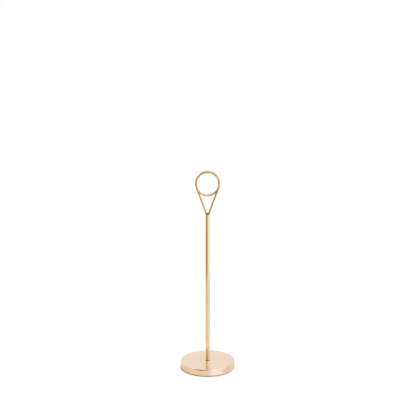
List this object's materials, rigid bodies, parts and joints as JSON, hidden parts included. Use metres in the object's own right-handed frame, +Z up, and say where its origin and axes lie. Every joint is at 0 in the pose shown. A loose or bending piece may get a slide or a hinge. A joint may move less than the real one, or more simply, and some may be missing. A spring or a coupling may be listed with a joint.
{
  "type": "table number holder",
  "caption": "Free-standing card holder: heavy round base, tubular stem held by one screw from below, and a coiled wire clip whose turns grip a card.",
  "frame": {"origin": "centre of the base's footprint, on the table", "axes": "+Z up along the stem, -Y the front, towards someone who reads the card, +X to their right"},
  "size_m": [0.08, 0.08, 0.3],
  "materials": {
    "brushed_gold": "steel, plated pale gold and finely brushed",
    "gold_wire": "spring wire, plated pale gold, satin",
    "braze": "brazing filler, darkened under the plating",
    "brass": "plain turned brass",
    "zinc_steel": "bright zinc plate",
    "felt": "dark pressed felt"
  },
  "bodies": {
    "base": {"base_disc": "brushed_gold", "foot_pad": "felt"},
    "stem": {"stem_tube": "brushed_gold", "stem_insert": "brass", "card_ring": "gold_wire", "ring_braze": "braze"},
    "washers": {"flat_washer": "zinc_steel", "spring_washer": "zinc_steel"},
    "screw": {"base_screw": "zinc_steel"}
  },
  "joints": [
    {"name": "stem_swivel", "type": "hinge", "parent": "base", "child": "stem", "pos_m": [0, 0, 0.009], "axis": [0, 0, 1], "continuous": true},
    {"name": "screw_travel", "type": "slide", "parent": "stem", "child": "washers", "axis": [0, 0, -1], "range_m": [0, 0.007]},
    {"name": "screw_turn", "type": "hinge", "parent": "washers", "child": "screw", "pos_m": [0, 0, 0.004], "axis": [0, 0, -1], "range_deg": [0, 5045]}
  ],
  "couplings": [
    {"joint": "screw_turn", "follows": "screw_travel", "rad_per_m": 12566}
  ]
}
